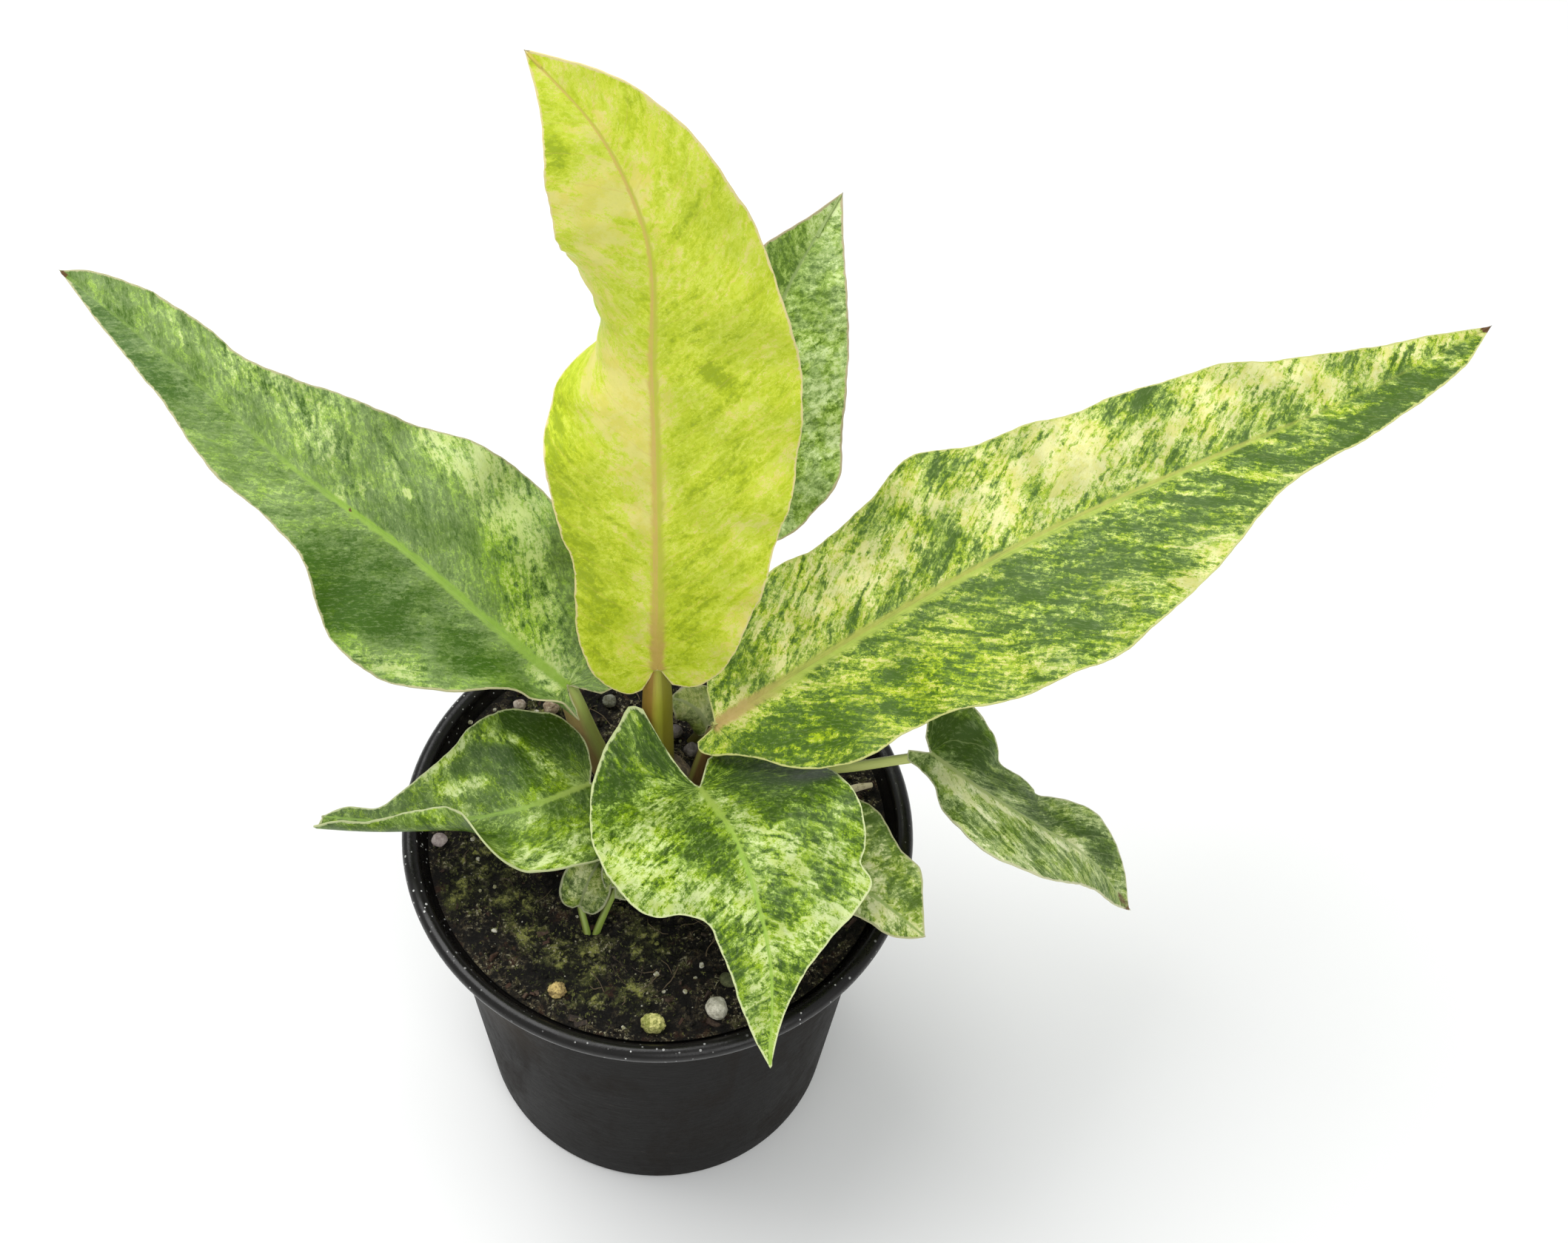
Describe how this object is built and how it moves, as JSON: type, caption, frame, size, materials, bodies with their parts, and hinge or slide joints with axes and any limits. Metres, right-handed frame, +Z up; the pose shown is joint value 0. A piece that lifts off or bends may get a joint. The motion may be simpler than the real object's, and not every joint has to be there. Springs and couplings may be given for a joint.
{
  "type": "potted anthurium hookeri",
  "caption": "Young variegated anthurium with long leathery leaves spreading from a short crown, in a mix-filled black nursery pot with a rolled rim.",
  "frame": {"origin": "centre of the pot's flat base, on the surface it stands on", "axes": "+Z up, -Y towards the side the leaves hang over, +X towards the longest leaf"},
  "size_m": [0.362, 0.1775, 0.3442],
  "materials": {
    "pot": "black recycled plastic, satin, scuffed and dusty",
    "potting_mix": "dark damp peat and bark mix with green moss, fibres and pale crumbs",
    "crown": "brown fibrous stem with papery sheaths",
    "leaf_young": "lime yellow young leaf with a cream stripe, peach midrib and soft sheen",
    "leaf_rear": "grey green leaf with pale speckles",
    "leaf_left": "deep green leaf with a lime midrib and cream streaks near the base",
    "leaf_right": "green leaf, heavily streaked with cream, tan midrib",
    "leaf_front": "green leaf with yellow green streaks along its veins and a pale margin",
    "leaf_front_left": "dark green leaf with a pale arc and a rolled tip",
    "leaf_front_right": "green leaf with cream splashes",
    "leaf_far_right": "dull grey green leaf with pale veins and a dry tip",
    "leaf_low": "pale grey green small leaf",
    "seedling": "pale grey green seedling with cream streaks",
    "root": "cream aerial root tip",
    "pumice": "white pitted pumice",
    "mossy_stone": "pale stone overgrown with yellow green moss",
    "yellow_stone": "dull yellow rough stone",
    "buried_stone": "olive stone, half sunk in the mix",
    "pink_stone": "pale pink grey stone",
    "grey_stone": "damp grey stone",
    "cream_stone": "cream stone",
    "white_stone": "off-white stone"
  },
  "bodies": {
    "root": {"pot": "pot", "soil": "potting_mix", "crown": "crown", "leaf_young": "leaf_young", "leaf_rear": "leaf_rear", "leaf_left": "leaf_left", "leaf_right": "leaf_right", "leaf_front": "leaf_front", "leaf_front_left": "leaf_front_left", "leaf_front_right": "leaf_front_right", "leaf_far_right": "leaf_far_right", "leaf_low": "leaf_low", "seedling": "seedling", "root_tip": "root", "pebble_pumice": "pumice", "pebble_mossy": "mossy_stone", "pebble_yellow": "yellow_stone", "pebble_half_buried": "buried_stone", "pebble_pink": "pink_stone", "pebble_grey_1": "grey_stone", "pebble_grey_2": "grey_stone", "pebble_grey_3": "grey_stone", "pebble_grey_4": "grey_stone", "pebble_grey_5": "grey_stone", "pebble_cream": "cream_stone", "pebble_white": "white_stone"}
  },
  "joints": []
}
